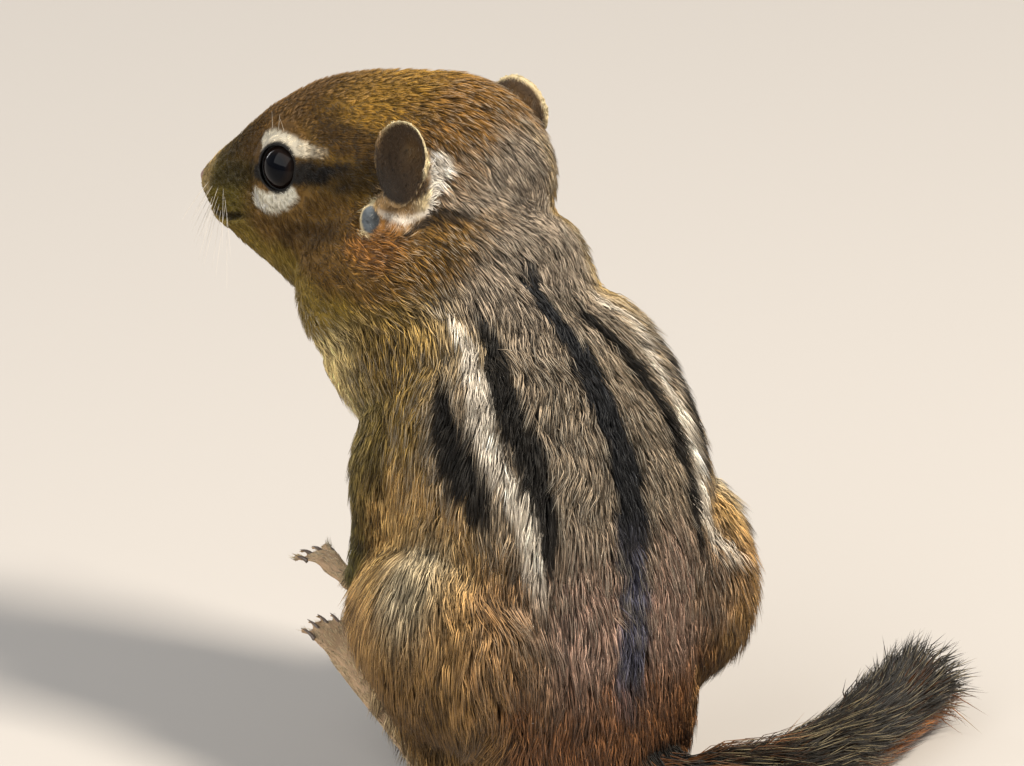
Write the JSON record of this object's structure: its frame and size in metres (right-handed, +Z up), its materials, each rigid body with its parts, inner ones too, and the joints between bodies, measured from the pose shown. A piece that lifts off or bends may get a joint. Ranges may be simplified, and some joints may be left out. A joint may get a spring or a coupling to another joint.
{
  "type": "chipmunk",
  "caption": "Life-size still model of a young striped chipmunk sitting up, head turned to its left, tail curled round on the ground.",
  "frame": {"origin": "on the floor, in the middle of the flat that the animal sits on", "axes": "+Z up, the body faces -Y, the animal's left side is +X"},
  "size_m": [0.0716, 0.0645, 0.072],
  "materials": {
    "coat": "soft short fur",
    "paw": "thinly haired skin",
    "ear": "thinly haired skin",
    "nose": "moist bare skin",
    "eye": "wet gloss",
    "tail": "longer bristly fur"
  },
  "bodies": {
    "root": {"ear_left": "ear", "ear_right": "ear", "eye_left": "eye", "eye_right": "eye", "foreleg_left": "coat", "foreleg_right": "coat", "forepaw_left": "paw", "forepaw_right": "paw", "haunch_left": "coat", "haunch_right": "coat", "head": "coat", "hindfoot_left": "paw", "hindfoot_right": "paw", "neck": "coat", "nose": "nose", "torso": "coat", "tail_base": "tail", "tail_end": "tail"}
  },
  "joints": []
}
